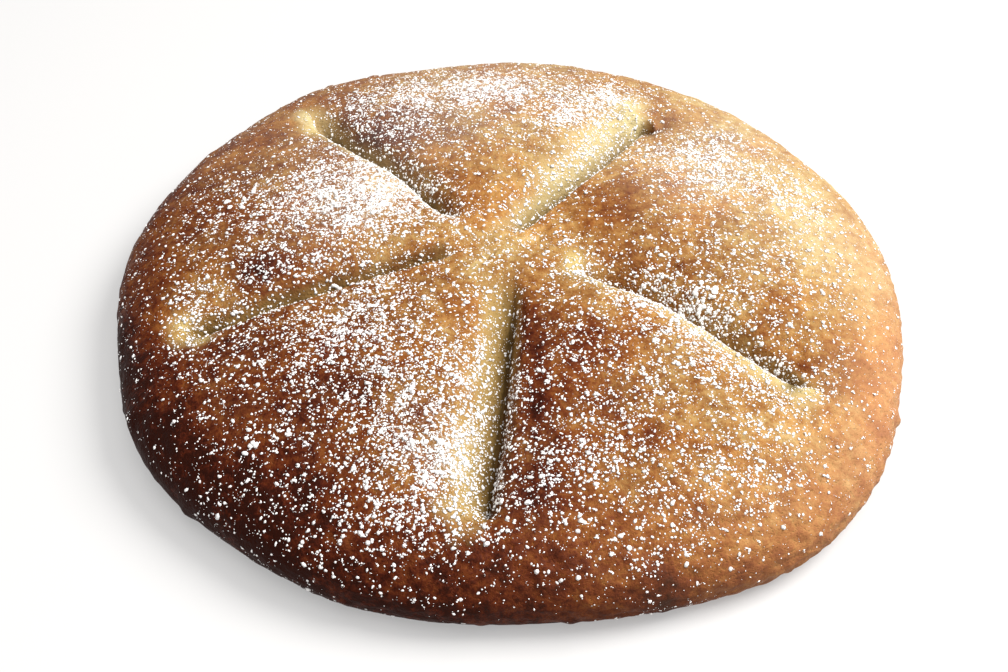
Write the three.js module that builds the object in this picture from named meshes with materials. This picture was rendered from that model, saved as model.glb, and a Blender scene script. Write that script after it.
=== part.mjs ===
// Sweet flatbread: one round, domed loaf baked as a single piece.
// Five cuts run out from near the middle towards the rim. They opened as the dough rose, so the top is
// five puffed lobes that join at a low hub and in an uncut rim. The underside is flat where it baked on its tray.
// Millimetres, +Z up. The origin is on the table, at the centre of the outline's box.

import * as THREE from 'three';

// ---- driving dimensions ----
const MEAN_RADIUS = 130; // mean radius of the widest line round the side
const WIDEST_HEIGHT = 11.3; // height of that line above the table
const DOME_HEIGHT = 39.1; // height of the dome before the hub sinks and the cuts open
const DOME_POWER = 2.83; // 2 is an ellipse; higher is flatter on top and fuller at the shoulder
const FOOT_TUCK = 0.07; // how far the side curls in beneath the widest line, as a share of the radius
const HUB_DIP = 2.4; // how far the middle sits below the dome
const HUB_RADIUS = 26; // reach of that dip
const VALLEY_REACH = 15; // distance from a cut over which the broad rounding of its lobes fades

// The outline is nearly round: cosine and sine terms, as shares of the mean radius, for 2 to 11 waves a turn.
const OUTLINE = [
  [-0.0058, -0.0212], [-0.0021, -0.0107], [-0.0026, -0.0029], [-0.0045, 0.001], [0.0015, 0.004],
  [0.0013, 0.0022], [0.003, -0.0009], [0.0007, 0.0037], [-0.0013, -0.0001], [-0.0019, -0.0007],
];

// Near the rim the outline swells further: its mean share, then cosine and sine terms for 1 to 8 waves a turn.
const RIM_SWELL = 0.0182;
const RIM_WAVES = [
  [0, 0.0047], [0.0015, 0.0034], [0.0011, 0.0042], [-0.009, 0.0021],
  [0.0038, 0.0028], [0.0018, 0.0004], [0.0009, 0.001], [-0.0019, -0.0024],
];
const RIM_REACH = [70, 126]; // radii over which the swelling sets in

// Each cut: its path as [distance from the middle, direction in degrees], the depth of its crease below the dome,
// the wall on each side (ahead: anticlockwise; behind: clockwise) as [width, fullness, how far that lobe's top
// rounds down towards the cut], with fullness 0 for an open slope and 1 for a lobe that rolls over into a steep
// wall, and the lengths over which the crease closes at its inner and outer end.
const CUTS = [
  { path: [[22, -34], [32.6, -30.2], [42, -28.1], [50.4, -27.8], [60, -29.8], [72.7, -31.2], [81, -32.5], [90.5, -33.2], [104, -33.4]], depth: 15.5,
    ahead: [11.5, 0.1, 5.4], behind: [5.5, 0.6, 2.4], ends: [20, 12] },
  { path: [[4, 60], [15, 58], [25, 56.6], [35, 53.9], [45, 52.7], [55, 52.7], [66, 53.6], [77.2, 54.2], [88, 54.5]], depth: 15.5,
    ahead: [15, 0.25, 4.4], behind: [5.2, 0.65, 2.6], ends: [20, 12] },
  { path: [[19, 143.5], [30, 141.5], [38.9, 136], [50, 133.4], [60.4, 133.7], [72, 134.3], [85.4, 133.6], [108, 131.4]], depth: 15,
    ahead: [5.5, 0.6, 2.6], behind: [9, 0.15, 4.8], ends: [16, 20] },
  { path: [[17, 200.5], [36.9, 200.1], [56.9, 200], [70, 200.8], [80, 200.7], [92, 200.9], [101, 200], [109, 199.2]], depth: 15,
    ahead: [5.2, 0.6, 2.2], behind: [8, 0.15, 4.6], ends: [20, 14] },
  { path: [[17, 277], [23.2, 273.5], [45.2, 270], [60, 268.9], [68.7, 268.3], [80, 267.8], [90, 267.1], [107, 266.6]], depth: 13.5,
    ahead: [5.5, 0.6, 3], behind: [15, 0.2, 4.5], ends: [20, 12] },
];

// ---- mesh fineness ----
const STEPS_PER_LOBE = 20;
const RING_RADII = [7, 13, 19, 25, 31, 38, 46, 54, 62, 70, 78, 86, 93.5, 100, 105.5, 110.5, 115, 119, 122.5, 125.5, 127.9, 129.4, 130];
const SIDE_ANGLES = [-18, -36, -54, -72, -90]; // the half-round side below the widest line

const rad = Math.PI / 180;
const clamp = (x) => Math.min(1, Math.max(0, x));
const smooth = (a, b, x) => { const t = clamp((x - a) / (b - a)); return t * t * (3 - 2 * t); };

// How far out a point at (r, theta) really lies, as a share of r.
function outline(r, theta) {
  let s = 1;
  OUTLINE.forEach(([c, d], i) => { s += c * Math.cos((i + 2) * theta) + d * Math.sin((i + 2) * theta); });
  let swell = RIM_SWELL;
  RIM_WAVES.forEach(([c, d], i) => { swell += c * Math.cos((i + 1) * theta) + d * Math.sin((i + 1) * theta); });
  return s + swell * smooth(...RIM_REACH, r);
}

// Direction of a cut at a distance from the middle, held constant past its ends.
function direction(cut, r) {
  const p = cut.path;
  if (r <= p[0][0]) return p[0][1] * rad;
  for (let i = 1; i < p.length; i++) {
    if (r <= p[i][0]) {
      const t = (r - p[i - 1][0]) / (p[i][0] - p[i - 1][0]);
      return (p[i - 1][1] + t * (p[i][1] - p[i - 1][1])) * rad;
    }
  }
  return p[p.length - 1][1] * rad;
}

// Height lost beside a cut's wall: 1 in the crease, 0 at the lip.
function wall(d, width, fullness) {
  const v = clamp(1 - d / width);
  return (1 - fullness) * v ** 1.6 + fullness * (1 - Math.sqrt(1 - v * v));
}

// Height of the top surface at (r, theta), with r scaled so that the widest line is at MEAN_RADIUS.
function topHeight(r, theta) {
  const rho = Math.min(1, r / MEAN_RADIUS);
  const dome = (DOME_HEIGHT - WIDEST_HEIGHT) * Math.sqrt(Math.max(0, 1 - rho ** DOME_POWER));
  let drop = HUB_DIP * Math.exp(-((r / HUB_RADIUS) ** 2));
  for (const cut of CUTS) {
    const a = theta - direction(cut, r);
    const turn = Math.atan2(Math.sin(a), Math.cos(a));
    const d = Math.abs(turn) < Math.PI / 2 ? r * Math.abs(Math.sin(turn)) : r;
    const first = cut.path[0][0];
    const last = cut.path[cut.path.length - 1][0];
    const along = smooth(first, first + cut.ends[0], r) * (1 - smooth(last - cut.ends[1], last + 2, r));
    const broad = smooth(first - 8, first + 30, r) * (1 - smooth(last - 16, last + 14, r));
    const [width, fullness, valley] = turn >= 0 ? cut.ahead : cut.behind;
    drop += (cut.depth - valley) * along * wall(d, width, fullness) + valley * broad * Math.exp(-((d / VALLEY_REACH) ** 2));
  }
  return WIDEST_HEIGHT + Math.max(0, dome - drop * smooth(0, 0.35, Math.sqrt(Math.max(0, 1 - rho))));
}

// Directions of one ring's corners: each cut has a corner on its crease, and corners crowd towards the creases.
function ringDirections(r) {
  const crowd = 0.78 * smooth(8, 40, r) * (1 - 0.6 * smooth(108, 124, r));
  const out = [];
  CUTS.forEach((cut, k) => {
    const from = direction(cut, r);
    const next = CUTS[(k + 1) % CUTS.length];
    let to = direction(next, r);
    while (to < from) to += 2 * Math.PI;
    for (let i = 0; i < STEPS_PER_LOBE; i++) {
      const u = i / STEPS_PER_LOBE;
      out.push(from + (to - from) * (u - (crowd / (2 * Math.PI)) * Math.sin(2 * Math.PI * u)));
    }
  });
  return out;
}

// ---- the loaf as one closed mesh: top centre, rings down the top and side, flat base ----
const rings = [];
for (const r of RING_RADII) {
  rings.push(ringDirections(r).map((theta) => {
    const s = r * outline(r, theta);
    return [s * Math.cos(theta), s * Math.sin(theta), r < MEAN_RADIUS ? topHeight(r, theta) : WIDEST_HEIGHT];
  }));
}
for (const a of SIDE_ANGLES) {
  const share = 1 - FOOT_TUCK * (1 - Math.cos(a * rad));
  const z = a === -90 ? 0 : WIDEST_HEIGHT * (1 + Math.sin(a * rad));
  rings.push(ringDirections(MEAN_RADIUS).map((theta) => {
    const s = MEAN_RADIUS * outline(MEAN_RADIUS, theta) * share;
    return [s * Math.cos(theta), s * Math.sin(theta), z];
  }));
}

// Put the origin at the centre of the outline's box.
const widest = rings[RING_RADII.length - 1];
const mid = (i) => (Math.max(...widest.map((p) => p[i])) + Math.min(...widest.map((p) => p[i]))) / 2;
const shift = [mid(0), mid(1)];

const points = [[0, 0, topHeight(0, 0)], ...rings.flat(), [0, 0, 0]];
const faces = [];
const columns = STEPS_PER_LOBE * CUTS.length;
const at = (ring, col) => 1 + ring * columns + (col % columns);
const last = points.length - 1;
for (let c = 0; c < columns; c++) {
  faces.push([0, at(0, c), at(0, c + 1)]);
  for (let r = 0; r + 1 < rings.length; r++) {
    faces.push([at(r, c), at(r + 1, c), at(r + 1, c + 1)], [at(r, c), at(r + 1, c + 1), at(r, c + 1)]);
  }
  faces.push([last, at(rings.length - 1, c + 1), at(rings.length - 1, c)]);
}

const geometry = new THREE.BufferGeometry();
geometry.setAttribute('position', new THREE.Float32BufferAttribute(
  points.flatMap(([x, y, z]) => [x - shift[0], y - shift[1], z]), 3));
geometry.setIndex(faces.flat());
geometry.computeVertexNormals();

const loaf = new THREE.Mesh(geometry, new THREE.MeshStandardMaterial({ color: 0xb9783a, roughness: 0.62, metalness: 0 }));
loaf.name = 'flatbread';

const part = new THREE.Group();
part.name = 'sweet_flatbread';
part.add(loaf);

export default part;
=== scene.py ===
import math

import bpy
import numpy as np
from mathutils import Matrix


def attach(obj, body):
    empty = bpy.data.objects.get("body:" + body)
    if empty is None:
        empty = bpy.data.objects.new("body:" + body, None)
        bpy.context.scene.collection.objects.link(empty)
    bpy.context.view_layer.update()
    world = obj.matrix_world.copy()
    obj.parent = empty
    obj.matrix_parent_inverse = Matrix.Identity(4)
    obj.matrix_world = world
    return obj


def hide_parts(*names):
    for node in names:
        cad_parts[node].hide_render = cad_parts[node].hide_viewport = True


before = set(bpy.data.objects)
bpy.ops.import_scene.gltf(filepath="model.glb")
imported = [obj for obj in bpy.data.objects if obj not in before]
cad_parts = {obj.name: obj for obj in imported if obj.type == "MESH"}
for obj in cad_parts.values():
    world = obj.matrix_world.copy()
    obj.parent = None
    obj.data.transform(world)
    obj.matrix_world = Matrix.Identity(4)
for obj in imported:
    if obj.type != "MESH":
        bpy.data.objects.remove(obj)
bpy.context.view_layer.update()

# ------------------------------------------------------------------------------------------------
# Sweet flatbread. Lengths in this part are millimetres, as in the CAD source; meshes are made in metres.
# ------------------------------------------------------------------------------------------------
MM = 0.001
MEAN_RADIUS = 130.0
WIDEST_HEIGHT = 11.3
DOME_HEIGHT = 39.1
DOME_POWER = 2.83
FOOT_TUCK = 0.07
HUB_DIP, HUB_RADIUS = 2.4, 26.0
VALLEY_REACH = 15.0
ORIGIN = np.array([0.3451, -2.1165])  # where the middle of the dome sits in the row frame
OUTLINE = [
    (-0.0058, -0.0212), (-0.0021, -0.0107), (-0.0026, -0.0029), (-0.0045, 0.001), (0.0015, 0.004),
    (0.0013, 0.0022), (0.003, -0.0009), (0.0007, 0.0037), (-0.0013, -0.0001), (-0.0019, -0.0007),
]
RIM_SWELL = 0.0182
RIM_WAVES = [
    (0, 0.0047), (0.0015, 0.0034), (0.0011, 0.0042), (-0.009, 0.0021), (0.0038, 0.0028), (0.0018, 0.0004), (0.0009, 0.001), (-0.0019, -0.0024),
]
RIM_REACH = (70, 126)
# path: (distance from the middle, direction in degrees). ahead (anticlockwise) and behind: the wall's width, its fullness
# (0 an open slope, 1 a lobe that rolls over into a steep wall) and how far that lobe's top rounds down towards the cut.
# ends: the lengths over which the crease closes at its inner and outer end. narrow: how much its ahead wall narrows over the last `over` mm.
CUTS = [
    dict(name="right", path=[(22, -34), (32.6, -30.2), (42, -28.1), (50.4, -27.8), (60, -29.8), (72.7, -31.2), (81, -32.5), (90.5, -33.2), (104, -33.4)],
         depth=16.5, ahead=(11.5, 0.1, 5.4), behind=(5.2, 1.0, 2.6), ends=(18, 10), narrow=0.8),
    dict(name="back_right", path=[(4, 60), (15, 58), (25, 56.6), (35, 53.9), (45, 52.7), (55, 52.7), (66, 53.6), (77.2, 54.2), (88, 54.5)],
         depth=16.5, ahead=(16, 0.5, 3.9), behind=(3.2, 0.9, 2.6), ends=(13, 4), narrow=0.74, over=15),
    dict(name="back_left", path=[(19, 143.5), (30, 141.5), (38.9, 136), (50, 133.4), (60.4, 133.7), (72, 134.3), (85.4, 133.6), (108, 131.4)],
         depth=15.5, ahead=(6.4, 1.0, 2.8), behind=(9, 0.15, 4.8), ends=(13, 20)),
    dict(name="left", path=[(17, 200.5), (36.9, 200.1), (56.9, 200), (70, 200.8), (80, 200.7), (92, 200.9), (101, 200), (109, 199.2)],
         depth=16.5, ahead=(2.9, 0.9, 2.2), behind=(7.5, 0.15, 4.6), ends=(20, 10)),
    dict(name="front", path=[(17, 277), (23.2, 273.5), (45.2, 270), (60, 268.9), (68.7, 268.3), (80, 267.8), (90, 267.1), (107, 266.6)],
         depth=13.6, ahead=(5.4, 0.5, 3.2), behind=(15, 0.35, 4.2), ends=(20, 6)),
]


def smooth(a, b, x):
    t = np.clip((x - a) / (b - a), 0.0, 1.0)
    return t * t * (3 - 2 * t)


def outline(r, theta):
    s = np.ones_like(theta)
    for i, (c, d) in enumerate(OUTLINE):
        s = s + c * np.cos((i + 2) * theta) + d * np.sin((i + 2) * theta)
    swell = np.full_like(theta, RIM_SWELL)
    for i, (c, d) in enumerate(RIM_WAVES):
        swell = swell + c * np.cos((i + 1) * theta) + d * np.sin((i + 1) * theta)
    return s + swell * smooth(*RIM_REACH, np.float64(r))


for _c in CUTS:  # a smooth table of each path, so that no crease has a corner in it
    _r = np.arange(0.0, 140.0, 0.5)
    _a = np.interp(_r, [p[0] for p in _c["path"]], [p[1] for p in _c["path"]])
    _k = np.exp(-0.5 * (np.arange(-20, 21) / 8.0) ** 2)
    _c["table"] = (_r, np.radians(np.convolve(np.pad(_a, 20, "edge"), _k / _k.sum(), "valid")))
    _c["first"], _c["last"] = _c["path"][0][0], _c["path"][-1][0]


def direction(cut, r):
    return np.interp(r, *cut["table"])


def wall(d, width, fullness):
    v = np.clip(1 - d / width, 0, 1)
    return (1 - fullness) * v ** 1.6 + fullness * (1 - np.sqrt(np.maximum(0, 1 - v * v)))


class Noise:
    """Seeded gradient noise on points, about -1 to 1."""

    def __init__(self, seed):
        rng = np.random.RandomState(seed)
        self.p = np.tile(rng.permutation(256), 3)
        g = rng.normal(size=(256, 3))
        self.g = g / np.linalg.norm(g, axis=1)[:, None]

    def __call__(self, pts, size):
        q = pts / size
        i = np.floor(q).astype(np.int64)
        f = q - i
        i &= 255
        u = f * f * f * (f * (f * 6 - 15) + 10)
        out = np.zeros(len(q))
        for dx in (0, 1):
            wx = u[:, 0] if dx else 1 - u[:, 0]
            hx = self.p[(i[:, 0] + dx) & 255]
            for dy in (0, 1):
                wy = u[:, 1] if dy else 1 - u[:, 1]
                hy = self.p[hx + ((i[:, 1] + dy) & 255)]
                for dz in (0, 1):
                    wz = u[:, 2] if dz else 1 - u[:, 2]
                    g = self.g[self.p[hy + ((i[:, 2] + dz) & 255)]]
                    d = (f - (dx, dy, dz))
                    out += wx * wy * wz * (g * d).sum(1)
        return out * 1.55


def cut_frame(r, theta):
    """For each cut: distance from its centre line, whether ahead of it, and how far along it the point is."""
    rows = []
    for c in CUTS:
        a = theta - direction(c, r)
        turn = np.arctan2(np.sin(a), np.cos(a))
        d = np.where(np.abs(turn) < math.pi / 2, r * np.abs(np.sin(turn)), r)
        along = smooth(c["first"], c["first"] + c["ends"][0], r) * (1 - smooth(c["last"] - c["ends"][1], c["last"] + 2, r))
        broad = smooth(c["first"] - 8, c["first"] + 30, r) * (1 - smooth(c["last"] - 16, c["last"] + 14, r))
        rows.append((d, turn >= 0, along, broad))
    return rows


def top_height(r, theta):
    rho = np.minimum(1, r / MEAN_RADIUS)
    dome = (DOME_HEIGHT - WIDEST_HEIGHT) * np.sqrt(np.maximum(0, 1 - rho ** DOME_POWER))
    drop = HUB_DIP * np.exp(-((r / HUB_RADIUS) ** 2))
    for c, (d, ahead, along, broad) in zip(CUTS, cut_frame(r, theta)):
        narrow = 1 - c.get("narrow", 0) * smooth(c["last"] - c.get("over", 30), c["last"], r)
        w = np.where(ahead, wall(d, c["ahead"][0] * narrow, c["ahead"][1]), wall(d, *c["behind"][:2]))
        valley = np.where(ahead, c["ahead"][2], c["behind"][2])
        drop = drop + (c["depth"] - valley) * along * w + valley * broad * np.exp(-((d / VALLEY_REACH) ** 2))
    return WIDEST_HEIGHT + np.maximum(0, dome - drop * smooth(0, 0.35, np.sqrt(np.maximum(0, 1 - rho))))


# ------------------------------------------------------------------------------------------------
# The loaf's fine mesh: rings round the middle, with a column on every crease
# ------------------------------------------------------------------------------------------------
PER_LOBE = 144
CROWD = 0.55


def ring_directions(r, per_lobe):
    crowd = CROWD * float(smooth(8, 40, np.float64(r))) * (1 - 0.6 * float(smooth(108, 124, np.float64(r))))
    u = np.arange(per_lobe) / per_lobe
    u = u - crowd / (2 * math.pi) * np.sin(2 * math.pi * u)
    out = []
    for k, c in enumerate(CUTS):
        a, b = direction(c, r), direction(CUTS[(k + 1) % len(CUTS)], r)
        while b < a:
            b += 2 * math.pi
        out.append(a + (b - a) * u)
    return np.concatenate(out)


def build_loaf():
    # ring radii at equal steps along the dome's profile
    rr = np.concatenate([np.linspace(0, 120, 600, endpoint=False), MEAN_RADIUS * np.sin(np.linspace(math.asin(120 / 130), math.pi / 2, 400))])
    zz = WIDEST_HEIGHT + (DOME_HEIGHT - WIDEST_HEIGHT) * np.sqrt(np.maximum(0, 1 - (rr / MEAN_RADIUS) ** DOME_POWER))
    arc = np.concatenate([[0], np.cumsum(np.hypot(np.diff(rr), np.diff(zz)))])
    count = int(arc[-1] / 1.15)
    radii = np.interp(np.linspace(0, arc[-1], count + 1)[2:], arc, rr)
    radii[-1] = MEAN_RADIUS
    rings = []  # (columns per lobe, r, theta, x, y, z)
    for r in radii:
        n = PER_LOBE // 4 if r < 25 else PER_LOBE // 2 if r < 58 else PER_LOBE
        th = ring_directions(r, n)
        rv = np.full_like(th, r)
        s = r * outline(r, th)
        z = top_height(rv, th) if r < MEAN_RADIUS else np.full_like(th, WIDEST_HEIGHT)
        rings.append((n, rv, th, s * np.cos(th), s * np.sin(th), z))
    for a in np.radians(-np.linspace(0, 90, 17)[1:]):
        th = ring_directions(MEAN_RADIUS, PER_LOBE)
        s = MEAN_RADIUS * outline(MEAN_RADIUS, th) * (1 - FOOT_TUCK * (1 - math.cos(a)))
        z = max(0.0, WIDEST_HEIGHT * (1 + math.sin(a)))
        rings.append((PER_LOBE, np.full_like(th, MEAN_RADIUS + 0.5), th, s * np.cos(th), s * np.sin(th), np.full_like(th, z)))
    for share, n in ((0.985, PER_LOBE), (0.965, PER_LOBE // 2), (0.93, PER_LOBE // 4), (0.8, PER_LOBE // 4), (0.6, PER_LOBE // 4), (0.35, PER_LOBE // 4)):
        th = ring_directions(MEAN_RADIUS, n)
        s = MEAN_RADIUS * outline(MEAN_RADIUS, th) * (1 - FOOT_TUCK) * share
        rings.append((n, np.full_like(th, MEAN_RADIUS + 1.0), th, s * np.cos(th), s * np.sin(th), np.zeros_like(th)))
    starts = np.cumsum([1] + [len(r[2]) for r in rings])
    top_z = float(top_height(np.array([0.0]), np.array([0.0]))[0])
    co = np.concatenate([[[0, 0, top_z]]] + [np.stack(r[3:6], 1) for r in rings] + [[[0, 0, 0]]])
    polar = np.concatenate([[[0, 0]]] + [np.stack(r[1:3], 1) for r in rings] + [[[MEAN_RADIUS + 1, 0]]])
    faces = []
    n0 = len(rings[0][2])
    i = np.arange(n0)
    faces.append(np.stack([np.zeros(n0, int), 1 + i, 1 + (i + 1) % n0], 1))
    for k in range(len(rings) - 1):
        a, b = len(rings[k][2]), len(rings[k + 1][2])
        sa, sb = starts[k], starts[k + 1]
        if a == b:
            i = np.arange(a)
            j = (i + 1) % a
            faces.append(np.stack([sa + i, sb + i, sb + j], 1))
            faces.append(np.stack([sa + i, sb + j, sa + j], 1))
        elif b == 2 * a:
            i = np.arange(a)
            j = (i + 1) % a
            faces.append(np.stack([sa + i, sb + 2 * i, sb + 2 * i + 1], 1))
            faces.append(np.stack([sa + i, sb + 2 * i + 1, sa + j], 1))
            faces.append(np.stack([sa + j, sb + 2 * i + 1, sb + (2 * i + 2) % b], 1))
        else:
            i = np.arange(b)
            j = (i + 1) % b
            faces.append(np.stack([sb + i, sa + 2 * i + 1, sa + 2 * i], 1))
            faces.append(np.stack([sb + i, sb + j, sa + 2 * i + 1], 1))
            faces.append(np.stack([sb + j, sa + (2 * i + 2) % a, sa + 2 * i + 1], 1))
    nl = len(rings[-1][2])
    i = np.arange(nl)
    faces.append(np.stack([np.full(nl, len(co) - 1), starts[-2] + (i + 1) % nl, starts[-2] + i], 1))
    return co, polar, np.concatenate(faces)


def vertex_normals(co, faces):
    a, b, c = (co[faces[:, k]] for k in range(3))
    fn = np.cross(b - a, c - a)
    out = np.zeros_like(co)
    for k in range(3):
        np.add.at(out, faces[:, k], fn)
    return out / np.maximum(1e-12, np.linalg.norm(out, axis=1))[:, None]


co, polar, faces = build_loaf()
r_all, th_all = polar[:, 0], polar[:, 1]
frames = cut_frame(np.minimum(r_all, MEAN_RADIUS), th_all)
on_top = r_all <= MEAN_RADIUS
n1, n2, n3, n4 = Noise(11), Noise(23), Noise(37), Noise(51)

# how far into a cut's wall each point is: 1 in the crease, 0 out on the crust
in_wall = np.zeros(len(co))
for c, (d, ahead, along, broad) in zip(CUTS, frames):
    w = np.where(ahead, c["ahead"][0], c["behind"][0])
    in_wall = np.maximum(in_wall, along * np.clip(1 - d / w, 0, 1) * on_top)

# gentle unevenness of the dough, then the crust's small bumps, wrinkles and blisters
normals = vertex_normals(co, faces)
flat_r = np.hypot(co[:, 0], co[:, 1])
bearing = np.degrees(np.arctan2(co[:, 1], co[:, 0]))


def toward(angle, width):
    return np.exp(-(((bearing - angle + 180) % 360 - 180) / width) ** 2)


shoulder = smooth(88, 122, flat_r)
lift = 0.75 * n1(co, 46.0) + 0.42 * n2(co, 19.0)
fine = 0.2 * n3(co, 7.0) + 0.13 * n4(co, 3.4)
blister = np.maximum(0, n2(co + 91.0, 8.5) - 0.42) * 1.6
pit = np.maximum(0, n3(co + 57.0, 6.0) - 0.5) * -1.4
# the shoulder is crinkled where the crust dried and drew together, most on the right and front right
crinkled = shoulder * (0.5 + 1.5 * toward(-30, 60) + 0.5 * toward(-95, 40))
along_rim = np.stack([np.radians(bearing) * 120 / 9.0, flat_r / 5.0, co[:, 2] / 3.2], 1)
crinkle = -0.5 * np.abs(n1(along_rim, 1.0)) + 0.28 * n4(along_rim * (1.9, 1.7, 1.9), 1.0) + 0.2 * n2(co + 11.0, 4.2)
knobs = np.zeros(len(co))  # scorched crumbs and knobs low on the side
for kx, ky, kz, size, height in ((43, -124, 5, 2.6, 2.0), (110.5, -68, 15, 4.0, 0.9), (119, -55, 9, 2.2, 1.2), (-127, -14, 8, 3.0, 0.9),
                                 (-118, -49, 8, 2.6, 0.9), (-93, -88, 7, 2.4, 0.8), (90, -92, 6, 3.2, 0.8), (-105, 76, 9, 3.0, 0.8)):
    knobs += height * np.exp(-(((co - (kx * 1.018, ky * 1.018, kz)) / (size, size, size)) ** 2).sum(1))
for kx, ky, size, height in ((-99, -33, 8, -1.8), (-72, 73, 7, -1.4), (51.5, 67, 3.0, -4.2), (56, 71, 4.2, -2.6), (64, 74.5, 5, -0.9), (45.5, 76.0, 4.4, 0.9), (87, -54, 5, -0.8), (-5.5, -106, 3, -2.0)):
    knobs += height * np.exp(-((co[:, 0] - kx) ** 2 + (co[:, 1] - ky) ** 2) / size ** 2) * (r_all < MEAN_RADIUS)
# the torn wall beside the back right cut is lumpy
d2, ahead2 = frames[1][0], frames[1][1]
torn = ahead2 * on_top * smooth(1.5, 5, d2) * (1 - smooth(12, 20, d2)) * smooth(22, 45, r_all) * (1 - smooth(84, 92, r_all))
knobs += torn * (0.75 * n2(co + 19.0, 8.0) + 0.45 * n4(co + 7.0, 4.2))
keep_flat = smooth(0.4, 6.0, co[:, 2])
away = 1 - 0.7 * in_wall
co = co + normals * ((lift + (fine + blister + pit + crinkle * crinkled) * away + knobs) * keep_flat)[:, None]
# the foot's edge is slightly uneven where the dough crept over its tray
foot = (1 - smooth(0.0, 9.0, co[:, 2])) * (r_all > MEAN_RADIUS)
foot_wave = (0.55 * n1(co * (1, 1, 0.2) + 13.0, 15.0) + 0.3 * n2(co * (1, 1, 0.2) + 31.0, 6.0)) * foot * (r_all < MEAN_RADIUS + 0.9)
flat_dir = co[:, :2] / np.maximum(1, np.linalg.norm(co[:, :2], axis=1))[:, None]
co[:, :2] += flat_dir * foot_wave[:, None]
co[:, 2] = np.maximum(co[:, 2], 0.0)
normals = vertex_normals(co, faces)


# ------------------------------------------------------------------------------------------------
# How brown, how pale and how dusted each point is, and the shade and light painted into its colour
# ------------------------------------------------------------------------------------------------
def spot(x, y, size, ax=None, turn=0.0):
    """A soft patch at (x, y), of that radius; ax is its other radius, with size turned by `turn` degrees."""
    dx, dy = co[:, 0] - x, co[:, 1] - y
    t = math.radians(turn)
    u, v = dx * math.cos(t) + dy * math.sin(t), -dx * math.sin(t) + dy * math.cos(t)
    return np.exp(-((u / size) ** 2 + (v / (ax or size)) ** 2))


px, py, pz = co.T
rim = smooth(96, 128, np.where(on_top, r_all, MEAN_RADIUS + 1))
brown_and_shading = 0.47 - 0.0014 * px - 0.0008 * py + 0.10 * spot(-62, -66, 46)
brown_and_shading += 0.06 * n1(co + 5.0, 38.0) + 0.08 * n2(co + 9.0, 15.0) + 0.075 * n3(co, 5.5)
for x, y, s, amount in (
    (-80, -11, 8, 0.32), (-98, -40, 14, 0.05), (20, -50, 16, 0.12), (27, -48, 7, 0.1), (41, -84, 6, 0.14), (31, -76, 7, 0.06), (20, -100, 16, 0.04),
    (-48, 60, 15, 0.13), (-38, 53, 9, 0.07), (-15, 20, 11, 0.14), (0, 0, 18, -0.19), (0, 35, 12, -0.05), (-95, -20, 13, -0.18), (-60, 20, 22, -0.06),
    (-104, -30, 10, -0.08), (-120, 0, 14, -0.1), (-98, -52, 13, -0.08), (0, -76, 10, 0.06), (20, -73, 10, 0.1), (2, -98, 14, 0.1), (20, -92, 10, 0.05), (100, -50, 11, 0.15),
    (60, -8, 11, 0.08), (80, -10, 12, 0.06), (20, -10, 9, -0.06), (60, 70, 8, 0.07), (-38, 30, 12, -0.07), (-20, 30, 8, 0.05), (-40, 70, 11, 0.06), (0, 5, 11, -0.05),
    (100, -50, 10, 0.1), (0, -92, 11, 0.07), (20, -62, 14, 0.05), (-118, -12, 12, -0.08), (-101, -27, 12, -0.06), (-40, 30, 11, -0.1), (-42, -12, 11, -0.1), (0, 55, 14, -0.07),
    (-22, -112, 12, -0.06), (98, 12, 20, -0.09), (2, -122, 14, -0.03), (107, -11, 18, -0.04), (74, -10, 12, -0.04), (107, -70, 12, -0.05), (66, 32, 14, -0.03), (37, 5, 9, -0.04), (0, 0, 18, -0.03), (-91, -76, 12, -0.03), (-52, -118, 12, -0.02), (30, -118, 16, -0.06), (60, -108, 16, -0.05), (-40, -118, 16, -0.08), (-45, -112, 14, -0.04), (40, -10, 15, 0.1), (35, 18, 13, 0.08),
    (80, -75, 22, -0.1), (-42, 8, 14, -0.1), (-45, -14, 9, -0.06), (100, 30, 30, -0.07), (-70, -45, 14, 0.04), (-60, -75, 18, 0.05),
    (58, 75, 7, 0.16), (52, 66, 4, 0.25), (86, -52, 7, 0.12), (-50, 62, 15, 0.08), (-36, 70, 12, 0.08), (18, -60, 13, 0.07), (44, -68, 13, 0.04), (-78, 10, 9, 0.05), (-60, 10, 9, 0.06), (-18, 12, 9, 0.06), (60, 12, 26, 0.03), (0, 108, 24, 0.04), (60, 90, 8, 0.06), (-52, -70, 14, 0.06), (-106, -31, 9, -0.12), (106, -8, 16, -0.06), (-88, -78, 14, -0.04), (-52, -70, 12, 0.04), (5, -70, 9, 0.05), (5, -92, 9, 0.05), (110.5, -68, 5, 0.2), (43, -123, 5, 0.3), (-20, 96, 18, -0.05), (30, 45, 12, -0.05),
):
    brown_and_shading += amount * spot(x, y, s)
brown_and_shading += 0.22 * spot(8.5, -66, 40, 5, 93)  # darker along the lip beside the front cut: painted shade where that lip faces away from the key light, over its browned crust
for k, behind_too, reach_mm, amount in ((1, False, 24, 0.14), (4, True, 24, 0.17), (2, False, 14, 0.07), (0, True, 15, 0.1)):  # golden beside the open walls
    d, ahead, along, broad = frames[k]
    brown_and_shading -= amount * (~ahead if behind_too else ahead) * on_top * broad * np.exp(-((d / reach_mm) ** 2))
# the rim: darker low on its side, and painted shade towards the front left and front, which face away from the key
# light, with a little painted light towards the right, which faces it, over the crust's own browning
brown_and_shading += 0.1 * rim * (1 - smooth(3, 24, pz)) + rim * (0.02 + 0.3 * toward(-142, 38) + 0.24 * toward(-96, 26) + 0.06 * toward(-178, 25) - 0.06 * toward(20, 55))
# a paler pinkish tan on the right of the rim: partly the crust's own tone, partly a painted highlight where it faces
# the key light
pink_and_highlight = rim * 0.95 * toward(-22, 36)
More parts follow.
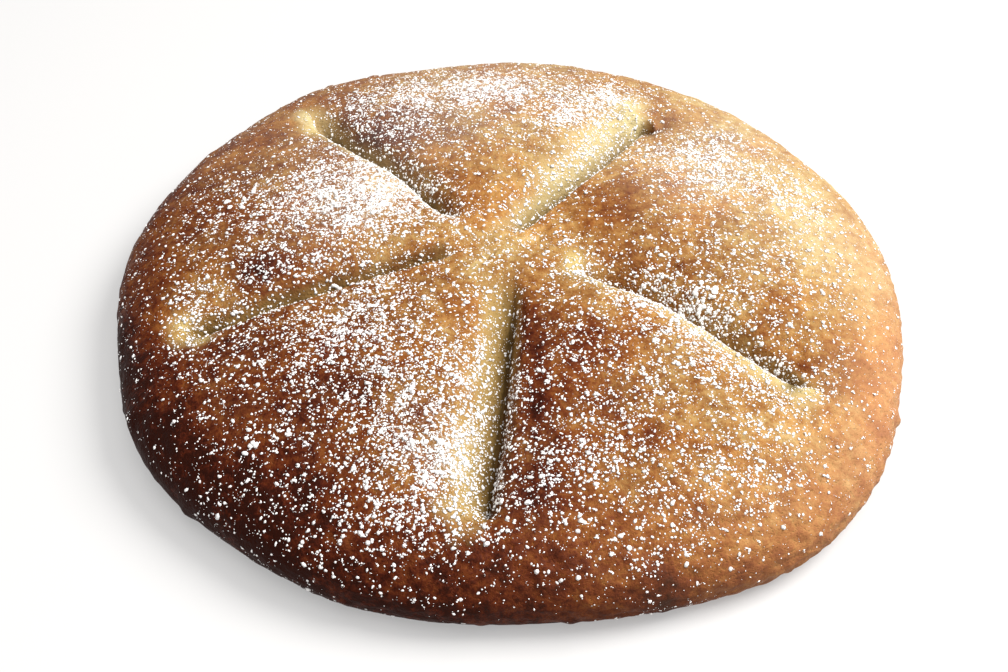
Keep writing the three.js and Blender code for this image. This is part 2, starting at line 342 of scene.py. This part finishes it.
# where the crust browned redder, and the thin film of the finest powder towards the back
ruddy = 0.42 - 0.5 * spot(105, 15, 34) - 0.3 * spot(80, 55, 25) + 0.75 * n1(co + 33.0, 21.0) + 0.6 * n2(co + 47.0, 8.0) + 0.35 * n3(co + 5.0, 4.0) + 0.8 * rim * (toward(-85, 60) + toward(180, 60)) + 0.4 * spot(18, -45, 22) + 0.4 * spot(-15, 25, 20) + 0.3 * spot(10, 20, 18)
film = on_top * (0.035 * smooth(15, 85, py) + 0.03 * spot(-60, 40, 30) + 0.06 * spot(56, 36, 20) + 0.075 * spot(-10, 92, 30) + 0.035 * spot(-60, 12, 18) + 0.07 * spot(82, 62, 22) + 0.05 * spot(70, 30, 18) + 0.07 * spot(106, 12, 26) + 0.03 * spot(-24, 59, 16)) * smooth(0.25, 0.7, normals[:, 2])

# the pale dough that each cut exposed: (width, strength, share of its darker olive copy, which is painted shade) of its
# band ahead of and behind the crease
pale_walls = {
    "right": ((5.5, 0.5, 0.9), (9.5, 0.95, 0.0)), "back_right": ((17, 1.0, 0.0), (2.5, 0.4, 0.3)), "back_left": ((7.5, 0.9, 0.0), (6, 0.85, 0.75)),
    "left": ((2.0, 0.2, 0.4), (6.0, 1.0, 0.8)), "front": ((5.5, 0.6, 1.0), (15, 0.95, 0.22)),
}
creamy = {"right": 0.7, "back_right": 1.0, "back_left": 0.9, "left": 0.0, "front": 0.35}
cream = np.zeros(len(co))
dough = np.zeros(len(co))
khaki_and_shade = np.zeros(len(co))
wander = 1 + 0.3 * n2(co + 71.0, 11.0) + 0.18 * n3(co + 3.0, 4.5)
for c, (d, ahead, along, broad) in zip(CUTS, frames):
    for side, (width, strength, share) in zip((ahead, ~ahead), pale_walls[c["name"]]):
        span = smooth(c["first"] - 4, c["first"] + 16, r_all) * (1 - smooth(c["last"] - 2, c["last"] + 8, r_all))
        if c["name"] == "front" and side is ahead:
            span = span * (1 - 0.75 * smooth(45, 75, r_all))
        width = width * (0.55 + 0.45 * smooth(c["first"], c["last"], r_all)) * wander
        band = strength * side * span * on_top * (1 - smooth(0.1, 1.5, d / np.maximum(0.5, width)))
        # near the crease of the front and back right cuts, more of the olive painted shade
        share = np.maximum(share, 0.95 * np.exp(-((d / {"front": 7.6, "back_right": 5.4}.get(c["name"], 0.01)) ** 2)))
        khaki_and_shade = np.where(band > dough, share, khaki_and_shade)
        cream = np.where(band > dough, creamy[c["name"]], cream)
        dough = np.maximum(dough, band)
for x, y, s, a, t, amount in ((-70.5, 71, 8, 5, 130, 0.9), (-102, -33, 5, 7.5, 12, 0.85), (-95.5, -39, 4.5, 3, 20, 0.6), (20.6, -11.5, 3.4, 6, 0, 1.0), (44, 80, 10, 6.5, 60, 0.85), (-12, -108, 8, 6, 90, 0.4)):
    patch = amount * spot(x, y, s, a, t) * on_top * (1 + 0.35 * n2(co + 83.0, 7.0) + 0.3 * n3(co + 29.0, 3.2))
    khaki_and_shade = np.where(patch > dough, 0, khaki_and_shade)
    cream = np.where(patch > dough, 1.0 if x > 30 else 0.3, cream)
    dough = np.maximum(dough, patch)
dough *= 1 - 0.92 * np.clip(1.4 * spot(54.5, 70, 5.6, 4.2, 40), 0, 1)
# painted shade: a near-black brown painted into each crease and up the wall that is seen, where shade falls
crease = np.zeros(len(co))
for c, (d, ahead, along, broad) in zip(CUTS, frames):
    # the shaded floor of each crease, wider on the side where its wall is an open slope
    ahead_wide, behind_wide = {"right": (3.0, 1.2), "back_right": (3.0, 1.0), "back_left": (1.0, 4.2), "left": (1.0, 4.8), "front": (1.9, 1.3)}[c["name"]]
    wide = np.where(ahead, ahead_wide, behind_wide) * (0.85 + 0.3 * n3(co + 61.0, 5.0))
    crease = np.maximum(crease, along * np.exp(-((d / wide) ** 4)) * on_top)
    # and a softer shade up the wall that is seen
    seen, soft = {"right": (ahead, 5.5), "back_right": (ahead, 6.6), "back_left": (~ahead, 6.5), "left": (~ahead, 6.6), "front": (~ahead, 6.8)}[c["name"]]
    crease = np.maximum(crease, {"back_right": 0.74, "front": 0.68, "left": 0.47}.get(c["name"], 0.55) * along * seen * np.exp(-((d / soft) ** 3)) * on_top)
    if c["name"] in ("left", "back_right", "front"):  # a thin line of painted shade just above the lip
        line, near_mm = {"left": (0.95, 6.5), "back_right": (0.95, 4.5), "front": (1.0, 3.8)}[c["name"]]
        reach_along = smooth(c["first"], c["first"] + 7, r_all) * (1 - smooth(c["last"] - 8, c["last"] + 1, r_all))
        crease = np.maximum(crease, line * reach_along * seen * (0.72 + 0.4 * n2(co + 15.0, 9.0)) * np.exp(-((d / near_mm) ** 6)) * on_top)
# painted shade in the dark hollows at the ends of the cuts
for x, y, s, amount in ((51.2, 62.8, 2.6, 1.0), (84.6, -60.6, 2.6, 1.0), (-6, -106, 2.6, 0.9), (26.5, -14.5, 4.0, 0.5)):
    crease = np.maximum(crease, amount * spot(x, y, s))

tip = np.clip(1.3 * spot(45.0, 72.0, 5.2, 4.2, 50), 0, 1)  # the pale wall's rounded end above that hollow, where the painted crease shade and the olive painted shade are lifted
crease *= 1 - 0.9 * tip
khaki_and_shade = khaki_and_shade * (1 - tip)

# how thickly icing sugar fell: grains times their size, per area
dust = np.full(len(co), 0.165)
for x, y, s, ax, turn, amount in (
    (-50, 25, 22, 16, 0, 1.08), (-48, 10, 16, 10, 10, 0.4), (-54, -10, 14, 8, 0, 0.2), (-44, 74, 24, 17, -43, 0.3), (-22, 11, 10, 8, 0, 0.22), (-100, -20, 8, 6, 0, 0.25), (-88, 25, 18, 12, 0, 0.1),
    (-20, -90, 12, 12, 0, 1.08), (-27, -70, 20, 16, 30, 0.34), (-46, -47, 20, 13, 0, 0.5), (-30, -110, 16, 9, 0, 0.34), (-42, -28, 14, 9, 10, 0.25), (-72, -28, 30, 3.5, 19, 0.5),
    (-8, 90, 24, 12, 0, 0.85), (-44, 90, 22, 12, -20, 0.3), (74, -10, 16, 13, 0, 0.12), (52, -116, 16, 7, 20, 0.12), (103, 28, 14, 14, 0, 0.38), (22, 70, 13, 9, 50, 0.85), (38, 87, 10, 8, 50, 1.15), (24, 46, 24, 5, 52, 0.4), (70, 44, 18, 14, -20, 0.5), (100, 36, 14, 16, 0, 0.26), (120, 8, 8, 14, 0, 0.15),
    (44, -31, 13, 8, -30, 0.42), (62, -48, 14, 9, -30, 0.5), (62, -27, 9, 7, -30, 0.2), (78, -64, 16, 12, -30, 0.18), (20, -90, 12, 10, 0, 0.22), (22, -14, 6, 5, 0, 0.15),
    (52, -22, 30, 5, -30, 0.3), (47, -33, 38, 2.2, -30, 0.4), (-44, 34, 30, 3.5, -42, 0.35), (70, -96, 20, 12, 20, 0.2), (40, -60, 30, 16, -30, 0.1),
    (34, 10, 20, 15, 0, -0.14), (40, 28, 11, 11, 0, -0.13), (-12, 34, 14, 14, 0, -0.12), (-34, 48, 18, 6, -40, -0.14), (62, 74, 12, 12, 0, -0.14), (-74, 74, 30, 24, 45, -0.15),
    (-8, -62, 34, 6, 92, 0.55), (-102, -33, 5, 7, 12, 0.5), (0, 0, 18, 14, 0, 0.05), (82, 62, 14, 14, 0, 0.2), (66, 30, 14, 12, 0, 0.12), (26, -79, 14, 12, 0, 0.03), (-49, -116, 20, 6, -12, 0.07), (-52, -70, 13, 12, 0, 0.02), (6, -120, 16, 6, 0, -0.06), (-101, -24, 9, 7, 0, 0.1), (-79, -9, 9, 8, 0, 0.28), (-68, 12, 14, 12, 0, 0.12), (-98, 50, 20, 20, 0, -0.06), (82, 90, 20, 20, 0, -0.12), (5, -42, 13, 22, 0, -0.1), (-14, -34, 10, 12, 0, -0.08), (30, -58, 14, 12, 0, -0.05), (-104, 0, 12, 14, 0, -0.08), (-75, -72, 14, 14, 0, -0.06),
):
    dust += amount * spot(x, y, s, ax, turn)
reach = np.where(on_top, r_all, MEAN_RADIUS + 1)
dust *= 1 - smooth(96 + 12 * toward(-82, 60), 121 + 9 * toward(-85, 65), reach)
dust *= 0.62 + 0.76 * np.clip(0.5 + 0.9 * n2(co + 41.0, 9.0) + 0.6 * n3(co + 17.0, 4.0), 0, 1.6)
for x, y, s, ax, turn, amount in ((52, -113, 20, 7, 24, 0.07), (-49, -114, 18, 6, -24, 0.06), (-72, -100, 14, 7, -40, 0.06)):  # drifted onto the rim
    dust += amount * spot(x, y, s, ax, turn) * (0.4 + 1.2 * np.clip(0.5 + n2(co + 41.0, 9.0), 0, 1))
dust += 0.02 * on_top * smooth(0.1, 0.5, normals[:, 2]) + 0.004 * (r_all < MEAN_RADIUS + 0.6)
dust *= 1 - 0.45 * np.clip(spot(-68, -24, 42, 4.5, 20.5) * 1.3, 0, 1)
dust = np.clip(dust, 0, 1.8) * (r_all < MEAN_RADIUS + 0.6) * (1 - (0.45 + 0.45 * spot(-3, -74, 9, 48)) * crease)


# ------------------------------------------------------------------------------------------------
# Mesh objects
# ------------------------------------------------------------------------------------------------
def new_mesh(name, points_mm, tris):
    me = bpy.data.meshes.new(name)
    me.vertices.add(len(points_mm))
    me.vertices.foreach_set("co", (points_mm * MM).astype(np.float32).ravel())
    me.loops.add(len(tris) * 3)
    me.loops.foreach_set("vertex_index", tris.astype(np.int32).ravel())
    me.polygons.add(len(tris))
    me.polygons.foreach_set("loop_start", np.arange(0, len(tris) * 3, 3, dtype=np.int32))
    me.polygons.foreach_set("loop_total", np.full(len(tris), 3, np.int32))
    me.update(calc_edges=True)
    me.validate()
    ob = bpy.data.objects.new(name, me)
    bpy.context.scene.collection.objects.link(ob)
    return ob


placed = co.copy()
placed[:, :2] += ORIGIN
loaf = new_mesh("bread_loaf", placed, faces)
loaf.data.polygons.foreach_set("use_smooth", np.ones(len(faces), bool))
for name, values in (("brown_and_shading", brown_and_shading), ("dough", dough), ("khaki_and_shade", khaki_and_shade), ("pink_and_highlight", pink_and_highlight), ("crease", crease), ("dust", dust), ("ruddy", np.clip(ruddy, 0, 1)), ("film", film), ("cream", cream)):
    layer = loaf.data.attributes.new(name, "FLOAT", "POINT")
    layer.data.foreach_set("value", values.astype(np.float32))

# UV for the colour map: the top and side unrolled as one disc, the base as a small disc in a corner
uv = loaf.data.uv_layers.new(name="OFBake")
loop_v = faces.ravel()
unrolled = np.where(on_top, r_all * 0.93 / MEAN_RADIUS * 0.5, 0)
under = r_all >= MEAN_RADIUS + 0.9
side = (~on_top) & (~under)
unrolled = np.where(side, 0.465 + 0.034 * (1 - np.clip(co[:, 2], 0, WIDEST_HEIGHT) / WIDEST_HEIGHT), unrolled)
u = 0.5 + unrolled * np.cos(th_all)
v = 0.5 + unrolled * np.sin(th_all)
face_under = under[faces].any(1)
small = 0.065
ub = 0.07 + small * placed[:, 0] / 135
vb = 0.07 + small * placed[:, 1] / 135
uvs = np.where(np.repeat(face_under, 3)[:, None], np.stack([ub, vb], 1)[loop_v], np.stack([u, v], 1)[loop_v])
uv.data.foreach_set("uv", uvs.astype(np.float32).ravel())


# ------------------------------------------------------------------------------------------------
# Icing sugar: clumps of powder lying on the crust, each a small closed irregular grain
# ------------------------------------------------------------------------------------------------
def ico(sub):
    t = (1 + 5 ** 0.5) / 2
    v = [(-1, t, 0), (1, t, 0), (-1, -t, 0), (1, -t, 0), (0, -1, t), (0, 1, t), (0, -1, -t), (0, 1, -t), (t, 0, -1), (t, 0, 1), (-t, 0, -1), (-t, 0, 1)]
    f = [(0, 11, 5), (0, 5, 1), (0, 1, 7), (0, 7, 10), (0, 10, 11), (1, 5, 9), (5, 11, 4), (11, 10, 2), (10, 7, 6), (7, 1, 8),
         (3, 9, 4), (3, 4, 2), (3, 2, 6), (3, 6, 8), (3, 8, 9), (4, 9, 5), (2, 4, 11), (6, 2, 10), (8, 6, 7), (9, 8, 1)]
    v = [np.array(p) / np.linalg.norm(p) for p in v]
    for _ in range(sub):
        seen, g = {}, []
        def half(a, b):
            key = (min(a, b), max(a, b))
            if key not in seen:
                m = v[a] + v[b]
                seen[key] = len(v)
                v.append(m / np.linalg.norm(m))
            return seen[key]
        for a, b, c in f:
            x, y, z = half(a, b), half(b, c), half(c, a)
            g += [(a, x, z), (b, y, x), (c, z, y), (x, y, z)]
        f = g
    return np.array(v), np.array(f)


def chip(sides):
    """A flat closed grain: a ring of corners between a low top and a bottom."""
    t = np.arange(sides) * 2 * math.pi / sides
    ring = np.stack([np.cos(t), np.sin(t), np.zeros(sides)], 1)
    i = np.arange(sides)
    j = (i + 1) % sides
    f = np.concatenate([np.stack([i, j, np.full(sides, sides)], 1), np.stack([j, i, np.full(sides, sides + 1)], 1)])
    return np.concatenate([ring, [[0, 0, 1], [0, 0, -1]]]), f


tri_co = co[faces]
fnorm = np.cross(tri_co[:, 1] - tri_co[:, 0], tri_co[:, 2] - tri_co[:, 0])
area = np.linalg.norm(fnorm, axis=1) / 2
fnorm /= np.maximum(1e-12, 2 * area)[:, None]
f_dust = dust[faces].mean(1) * (r_all[faces].max(1) < MEAN_RADIUS + 0.6)
GRAIN_COVER = 0.37  # mm2 of crust that one grain hides, on average


def scatter(rng, count, weight):
    pick = np.searchsorted(np.cumsum(weight) / weight.sum(), rng.rand(count))
    pick = np.minimum(pick, len(weight) - 1)
    bary = rng.dirichlet((1, 1, 1), count)
    return (tri_co[pick] * bary[:, :, None]).sum(1), fnorm[pick]


def grains(name, template, where, up, size, seed, flat, rough):
    """One mesh of closed grains lying on the crust; size is each grain's radius in mm."""
    rng = np.random.RandomState(seed)
    tv, tf = template
    count = len(where)
    up = up + 0.12 * rng.normal(size=(count, 3))
    up /= np.linalg.norm(up, axis=1)[:, None]
    x = np.cross(rng.normal(size=(count, 3)), up)
    x /= np.linalg.norm(x, axis=1)[:, None]
    y = np.cross(up, x)
    stretch = np.stack([size * rng.uniform(0.85, 1.35, count), size * rng.uniform(0.65, 1.1, count), size * rng.uniform(flat * 0.75, flat * 1.3, count)], 1)
    local = tv[None] * (1 + rough * rng.uniform(-1, 1, (count, len(tv), 1))) * stretch[:, None, :]
    local[..., 2] += 0.12 * size[:, None] * rng.uniform(-1, 1, (count, len(tv)))
    pts = (where + up * (stretch[:, 2:3] * 0.45))[:, None, :] + local[..., 0:1] * x[:, None] + local[..., 1:2] * y[:, None] + local[..., 2:3] * up[:, None]
    tris = tf[None] + (np.arange(count) * len(tv))[:, None, None]
    pts = pts.reshape(-1, 3)
    pts[:, :2] += ORIGIN
    return new_mesh(name, pts, tris.reshape(-1, 3))


def clusters(seed, share):
    """Grains fall in clumps of one to four. Returns each grain's place, the crust's normal there and its radius."""
    rng = np.random.RandomState(seed)
    total = (area * f_dust).sum() / GRAIN_COVER * share
    clump = rng.choice([1, 2, 3, 4], size=int(total / 1.6), p=[0.58, 0.28, 0.1, 0.04])
    where, up = scatter(rng, len(clump), area * f_dust)
    own = np.repeat(np.arange(len(clump)), clump)
    first = np.concatenate([[True], own[1:] != own[:-1]])
    size = 0.295 * np.exp(0.4 * rng.normal(size=len(own)))
    size = np.clip(size, 0.14, 0.85)
    off = rng.normal(size=(len(own), 3)) * (0.33 + 0.08 * clump[own])[:, None]
    off -= up[own] * (off * up[own]).sum(1)[:, None]
    off[first] = 0
    return where[own] + off, up[own], size


sugar = []
for k in range(5):
    where, up, size = clusters(201 + k, 1 / 5)
    keep = slice(0, 16000)
    sugar.append(grains(f"icing_sugar_{k + 1}", chip(6), where[keep], up[keep], size[keep], 301 + k, 0.42, 0.22))
for k in range(2):  # the finest specks, everywhere the powder drifted
    rng = np.random.RandomState(601 + k)
    fine_dust = area * (f_dust + 0.12 * (f_dust > 0.015))
    where, up = scatter(rng, 13000, fine_dust)
    sugar.append(grains(f"icing_sugar_fine_{k + 1}", chip(3), where, up, np.clip(0.18 * np.exp(0.25 * rng.normal(size=len(where))), 0.1, 0.32), 701 + k, 0.5, 0.15))
rng = np.random.RandomState(7)
lumps = []
for x, y, n, s, spread in ((-75, -82, 7, 0.95, 1.4), (62, -22.5, 9, 1.0, 1.8), (60, -30, 6, 0.8, 1.6), (22, -15, 7, 0.8, 1.4), (-94, 23, 6, 0.8, 2.2), (49, -34, 5, 0.8, 3.0),
                           (-24, -84, 5, 0.75, 4.0), (-55, 30, 6, 0.8, 9.0), (28, -96, 3, 0.7, 3.0), (33, -112, 3, 0.7, 2.0), (-12, 92, 5, 0.8, 5.0)):
    for _ in range(n):
        lumps.append((x + rng.normal() * spread, y + rng.normal() * spread, s * rng.uniform(0.6, 1.15)))
lumps = np.array(lumps)
top_v = np.where(on_top)[0]
near = np.array([top_v[np.argmin((co[top_v, 0] - x) ** 2 + (co[top_v, 1] - y) ** 2)] for x, y, _ in lumps])
sugar.append(grains("icing_sugar_lumps", ico(1), co[near], normals[near], lumps[:, 2], 103, 0.6, 0.14))


# ------------------------------------------------------------------------------------------------
# Materials
# ------------------------------------------------------------------------------------------------
def material(name):
    m = bpy.data.materials.new(name)
    m.use_nodes = True
    m.node_tree.nodes.clear()
    return m, m.node_tree


def add(tree, kind, **settings):
    n = tree.nodes.new(kind)
    for k, v in settings.items():
        setattr(n, k, v)
    return n


def setin(node, **values):
    for k, v in values.items():
        node.inputs[k.replace("_", " ")].default_value = v
    return node


def ramp(tree, source, stops):
    n = tree.nodes.new("ShaderNodeValToRGB")
    e = n.color_ramp.elements
    while len(e) < len(stops):
        e.new(0.5)
    for el, (p, c) in zip(e, stops):
        el.position = p
        el.color = (*c, 1) if len(c) == 3 else c
    tree.links.new(source, n.inputs["Fac"])
    return n.outputs["Color"]


def math_node(tree, op, a, b=None, c=None, clamp=False):
    n = tree.nodes.new("ShaderNodeMath")
    n.operation = op
    n.use_clamp = clamp
    for i, v in enumerate((a, b, c)):
        if v is None:
            continue
        if isinstance(v, (int, float)):
            n.inputs[i].default_value = v
        else:
            tree.links.new(v, n.inputs[i])
    return n.outputs[0]


def mix(tree, fac, a, b, blend="MIX"):
    n = tree.nodes.new("ShaderNodeMix")
    n.data_type = "RGBA"
    n.blend_type = blend
    for sock, v in ((n.inputs[0], fac), (n.inputs[6], a), (n.inputs[7], b)):
        if isinstance(v, (int, float)):
            sock.default_value = v
        elif isinstance(v, tuple):
            sock.default_value = (*v, 1)
        else:
            tree.links.new(v, sock)
    return n.outputs[2]


def noise(tree, coords, size_mm, detail=3.0, rough=0.55, distortion=0.0):
    n = tree.nodes.new("ShaderNodeTexNoise")
    n.inputs["Scale"].default_value = 1000.0 / size_mm
    n.inputs["Detail"].default_value = detail
    n.inputs["Roughness"].default_value = rough
    n.inputs["Distortion"].default_value = distortion
    tree.links.new(coords, n.inputs["Vector"])
    return n.outputs["Fac"]


crust, t = material("bread_crust")
coords = add(t, "ShaderNodeTexCoord").outputs["Object"]
attr = {}
for key in ("brown_and_shading", "dough", "khaki_and_shade", "pink_and_highlight", "crease", "dust", "ruddy", "film", "cream"):
    attr[key] = add(t, "ShaderNodeAttribute", attribute_name=key).outputs["Fac"]
na = noise(t, coords, 11, 4, 0.62)
nb = noise(t, coords, 3.0, 3, 0.6)
nc = noise(t, coords, 0.9, 2, 0.6)
level = math_node(t, "ADD", attr["brown_and_shading"], math_node(t, "MULTIPLY", math_node(t, "SUBTRACT", na, 0.5), 0.5))
level = math_node(t, "ADD", level, math_node(t, "MULTIPLY", math_node(t, "SUBTRACT", nb, 0.5), 0.66))
level = math_node(t, "ADD", level, math_node(t, "MULTIPLY", math_node(t, "SUBTRACT", nc, 0.5), 0.46))
colour = ramp(t, level, [
    (0.0, (0.52, 0.415, 0.205)), (0.2, (0.415, 0.28, 0.11)), (0.38, (0.295, 0.16, 0.052)), (0.54, (0.195, 0.081, 0.022)),
    (0.72, (0.11, 0.0305, 0.0088)), (0.88, (0.056, 0.011, 0.0042)), (1.0, (0.023, 0.005, 0.0023))])
colour = mix(t, attr["ruddy"], colour, (1.04, 0.83, 0.66), "MULTIPLY")
# the pinkish tan of the right rim, partly a painted highlight
colour = mix(t, math_node(t, "MULTIPLY", attr["pink_and_highlight"], 0.52), colour, (0.49, 0.235, 0.125))
dough_level = math_node(t, "ADD", attr["dough"], math_node(t, "MULTIPLY", math_node(t, "SUBTRACT", nb, 0.5), 0.4))
dough_mix = ramp(t, dough_level, [(0.1, (0, 0, 0)), (0.85, (1, 1, 1))])
pale = mix(t, attr["cream"], mix(t, nb, (0.4, 0.27, 0.075), (0.54, 0.4, 0.155)), mix(t, nb, (0.44, 0.34, 0.13), (0.62, 0.53, 0.3)))
# the darker olive dough: painted shade on the cut walls that face away from the light and down near the creases
pale = mix(t, attr["khaki_and_shade"], pale, mix(t, nb, (0.265, 0.149, 0.037), (0.385, 0.246, 0.08)))
colour = mix(t, dough_mix, colour, pale)
# painted shade in the creases, a near-black brown
colour = mix(t, math_node(t, "MULTIPLY", attr["crease"], 0.8), colour, (0.058, 0.029, 0.009))
veil = math_node(t, "MULTIPLY", math_node(t, "SUBTRACT", noise(t, coords, 0.8, 1, 0.6), 0.45, clamp=True), math_node(t, "MULTIPLY", math_node(t, "SUBTRACT", attr["dust"], 0.6, clamp=True), 1.6), clamp=True)
veil = math_node(t, "ADD", veil, math_node(t, "MULTIPLY", attr["film"], math_node(t, "ADD", 0.4, nb)), clamp=True)
colour = mix(t, veil, colour, (0.8, 0.76, 0.72))
shader = add(t, "ShaderNodeBsdfPrincipled")
t.links.new(colour, shader.inputs["Base Color"])
rough = math_node(t, "ADD", 0.42, math_node(t, "MULTIPLY", nb, 0.22))
rough = math_node(t, "ADD", rough, math_node(t, "MULTIPLY", math_node(t, "MAXIMUM", dough_mix, veil), 0.3), clamp=True)
t.links.new(rough, shader.inputs["Roughness"])
shader.inputs["Specular IOR Level"].default_value = 0.05
shader.inputs["Subsurface Weight"].default_value = 0.0
bump1 = add(t, "ShaderNodeBump")
bump1.inputs["Strength"].default_value = 0.75
bump1.inputs["Distance"].default_value = 0.001
pores = math_node(t, "MULTIPLY", math_node(t, "SUBTRACT", 0.42, nc, clamp=True), -2.2)
height = math_node(t, "ADD", math_node(t, "MULTIPLY", nb, 1.0), math_node(t, "MULTIPLY", nc, 0.35))
height = math_node(t, "ADD", height, pores)
t.links.new(height, bump1.inputs["Height"])
t.links.new(bump1.outputs["Normal"], shader.inputs["Normal"])
out = add(t, "ShaderNodeOutputMaterial")
t.links.new(shader.outputs[0], out.inputs["Surface"])
loaf.data.materials.append(crust)

powder, t = material("icing_sugar")
coords = add(t, "ShaderNodeTexCoord").outputs["Object"]
shader = add(t, "ShaderNodeBsdfPrincipled")
t.links.new(mix(t, noise(t, coords, 1.6, 2), (0.9, 0.885, 0.87), (0.97, 0.965, 0.96)), shader.inputs["Base Color"])
shader.inputs["Roughness"].default_value = 0.85
shader.inputs["Specular IOR Level"].default_value = 0.2
shader.inputs["Subsurface Weight"].default_value = 0.0
bump2 = add(t, "ShaderNodeBump")
bump2.inputs["Strength"].default_value = 0.5
bump2.inputs["Distance"].default_value = 0.0002
t.links.new(noise(t, coords, 0.35, 2), bump2.inputs["Height"])
t.links.new(bump2.outputs["Normal"], shader.inputs["Normal"])
out = add(t, "ShaderNodeOutputMaterial")
t.links.new(shader.outputs[0], out.inputs["Surface"])
for s in sugar:
    s.data.materials.append(powder)

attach(loaf, "root")
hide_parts("flatbread")
for s in sugar:
    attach(s, "root")

# ------------------------------------------------------------------------------------------------
# Floor, light and camera
# ------------------------------------------------------------------------------------------------
bpy.ops.mesh.primitive_plane_add(size=6, location=(0, 0, -0.0002))
floor = bpy.context.object
floor.name = "floor"
pale_floor, t = material("pale_floor")
shader = add(t, "ShaderNodeBsdfPrincipled")
shader.inputs["Base Color"].default_value = (0.37, 0.366, 0.363, 1)
shader.inputs["Roughness"].default_value = 0.7
shader.inputs["Specular IOR Level"].default_value = 0.1
shader.inputs["Emission Color"].default_value = (1, 1, 1, 1)
shader.inputs["Emission Strength"].default_value = 0.36
out = add(t, "ShaderNodeOutputMaterial")
t.links.new(shader.outputs[0], out.inputs["Surface"])
floor.data.materials.append(pale_floor)

world = bpy.data.worlds.new("studio")
bpy.context.scene.world = world
world.use_nodes = True
world.node_tree.nodes["Background"].inputs["Color"].default_value = (1.0, 0.98, 0.97, 1)
world.node_tree.nodes["Background"].inputs["Strength"].default_value = 0.4


def area_light(name, where, size, watts, colour=(1, 1, 1), target=(0, 0, 0.02)):
    data = bpy.data.lights.new(name, "AREA")
    data.shape = "DISK"
    data.size = size
    data.energy = watts
    data.color = colour
    ob = bpy.data.objects.new(name, data)
    bpy.context.scene.collection.objects.link(ob)
    ob.location = where
    from mathutils import Vector
    ob.rotation_euler = (Vector(target) - Vector(where)).to_track_quat("-Z", "Y").to_euler()
    return ob


area_light("key", (1.02, 0.15, 1.22), 0.95, 39.5, (1.0, 0.99, 0.97))
area_light("overhead", (0.1, -0.4, 1.45), 1.3, 13, (1.0, 0.995, 0.99))

D, EL = 476.2, 44.006
target = np.array([-1.4799 + ORIGIN[0], -7.7423 + ORIGIN[1], 0.0])
cam_data = bpy.data.cameras.new("camera")
cam_data.sensor_width = 36
cam_data.lens = 50
cam = bpy.data.objects.new("camera", cam_data)
bpy.context.scene.collection.objects.link(cam)
e = math.radians(EL)
cam.location = (target + D * np.array([0, -math.cos(e), math.sin(e)])) * MM
cam.rotation_euler = (math.radians(90 - EL), 0, 0)
cam_data.clip_start, cam_data.clip_end = 0.01, 50
bpy.context.scene.camera = cam
bpy.context.scene.view_settings.view_transform = "Standard"
